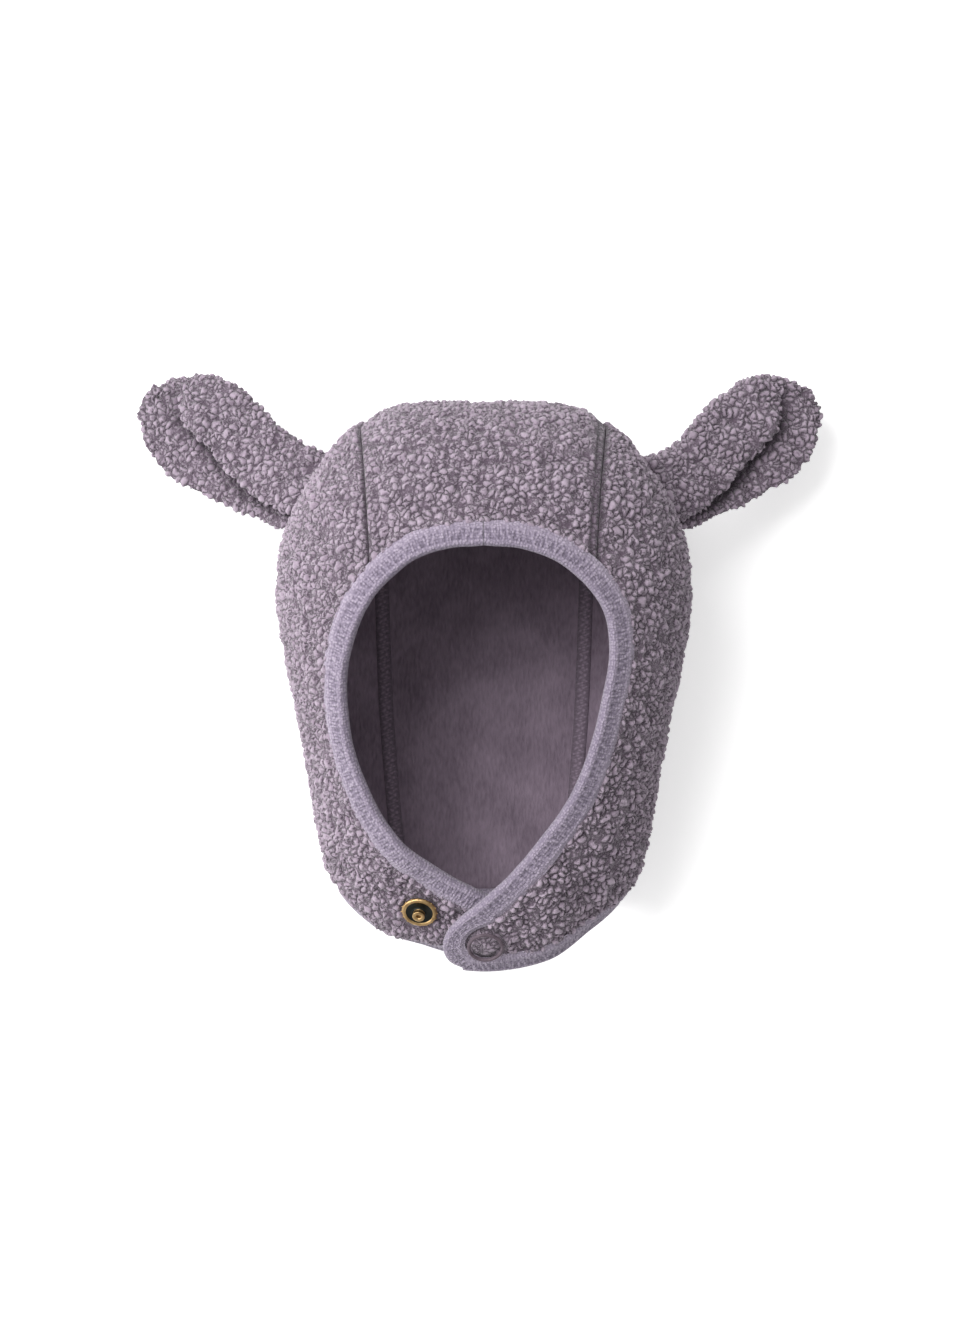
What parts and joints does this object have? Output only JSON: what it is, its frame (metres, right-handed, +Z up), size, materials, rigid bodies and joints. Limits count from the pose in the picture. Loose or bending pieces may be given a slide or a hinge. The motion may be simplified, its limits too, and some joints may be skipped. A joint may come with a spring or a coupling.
{
  "type": "baby hat with ears",
  "caption": "Baby's hood hat in thick pile fleece, lying on its back: three panels, two folded ears, a knitted binding round the face and neck, and chin tabs closed with press studs.",
  "frame": {"origin": "on the floor, under the middle of the hat with its ears", "axes": "+Z up out of the face opening, +Y towards the crown, +X towards the wearer's left ear, which is on the right of a viewer who looks down into the face opening"},
  "size_m": [0.2892, 0.2516, 0.1116],
  "materials": {
    "pile_fleece": "curly mauve pile, matt",
    "knitted_binding": "ribbed lilac knit, matt",
    "antique_brass": "darkened brass",
    "cap_ring": "mauve coated, satin"
  },
  "bodies": {
    "root": {"panel_centre": "pile_fleece", "panel_left": "pile_fleece", "panel_right": "pile_fleece", "ear_left": "pile_fleece", "ear_right": "pile_fleece", "binding": "knitted_binding", "stud_open": "antique_brass", "stud_shut": "antique_brass", "cap_ring": "cap_ring"}
  },
  "joints": []
}
